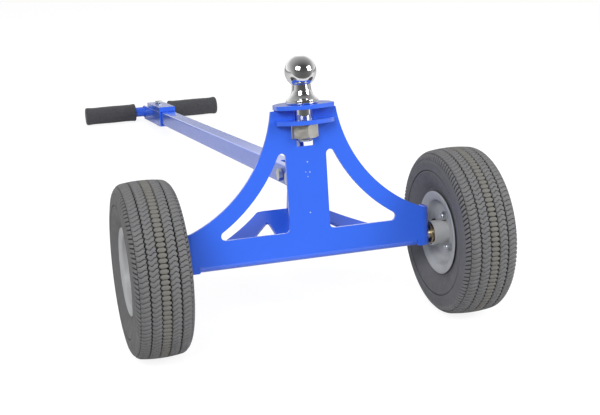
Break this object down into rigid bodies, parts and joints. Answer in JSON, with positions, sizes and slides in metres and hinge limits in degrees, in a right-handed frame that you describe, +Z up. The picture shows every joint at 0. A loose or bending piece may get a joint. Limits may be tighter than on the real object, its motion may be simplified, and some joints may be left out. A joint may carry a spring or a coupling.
{
  "type": "trailer dolly",
  "caption": "Hand dolly for moving a small trailer: steel plate body with a hitch ball, pneumatic wheels and a long T handle with foam grips.",
  "frame": {"origin": "middle of the footprint on the floor, as the dolly rests on its two wheels and both grips", "axes": "+Z up; +Y from the hitch end back along the handle; +X towards the right wheel as seen from the hitch end"},
  "size_m": [0.584, 1.5358, 0.427],
  "materials": {
    "blue_coat": "gloss powder coat",
    "chrome": "polished chrome plate",
    "steel": "satin",
    "zinc": "yellow zinc plate",
    "rim_paint": "satin grey paint",
    "tyre_rubber": "matte",
    "valve_rubber": "matte",
    "foam": "matte closed-cell foam"
  },
  "bodies": {
    "frame": {"body_plate": "blue_coat", "ball_plate_upper": "blue_coat", "ball_plate_lower": "blue_coat", "spine_rib": "blue_coat", "hitch_ball": "chrome", "hitch_nut": "steel", "handle_tube": "blue_coat", "t_bar_bracket": "blue_coat", "t_bar_bracket_cap": "blue_coat", "t_bar": "blue_coat", "left_grip": "foam", "right_grip": "foam", "handle_bolt_1": "zinc", "handle_nut_1": "zinc", "handle_bolt_2": "zinc", "handle_nut_2": "zinc", "t_bar_bolt": "zinc", "t_bar_nut": "zinc", "axle": "steel", "left_spacer": "zinc", "left_washer": "zinc", "left_inner_bearing_inner_race": "steel", "left_outer_bearing_inner_race": "steel", "left_cotter_pin": "zinc", "right_spacer": "zinc", "right_washer": "zinc", "right_inner_bearing_inner_race": "steel", "right_outer_bearing_inner_race": "steel", "right_cotter_pin": "zinc"},
    "left_wheel": {"left_tyre": "tyre_rubber", "left_rim_outer_half": "rim_paint", "left_rim_inner_half": "rim_paint", "left_hub": "rim_paint", "left_inner_bearing_outer_race": "steel", "left_outer_bearing_outer_race": "steel", "left_valve_stem": "valve_rubber", "left_rim_bolt_1": "zinc", "left_rim_nut_1": "zinc", "left_rim_bolt_2": "zinc", "left_rim_nut_2": "zinc", "left_rim_bolt_3": "zinc", "left_rim_nut_3": "zinc"},
    "right_wheel": {"right_tyre": "tyre_rubber", "right_rim_outer_half": "rim_paint", "right_rim_inner_half": "rim_paint", "right_hub": "rim_paint", "right_inner_bearing_outer_race": "steel", "right_outer_bearing_outer_race": "steel", "right_valve_stem": "valve_rubber", "right_rim_bolt_1": "zinc", "right_rim_nut_1": "zinc", "right_rim_bolt_2": "zinc", "right_rim_nut_2": "zinc", "right_rim_bolt_3": "zinc", "right_rim_nut_3": "zinc"}
  },
  "joints": [
    {"name": "left_wheel_spin", "type": "hinge", "parent": "frame", "child": "left_wheel", "pos_m": [0, -0.63539, 0.1325], "axis": [1, 0, 0], "continuous": true},
    {"name": "right_wheel_spin", "type": "hinge", "parent": "frame", "child": "right_wheel", "pos_m": [0, -0.63539, 0.1325], "axis": [1, 0, 0], "continuous": true}
  ]
}
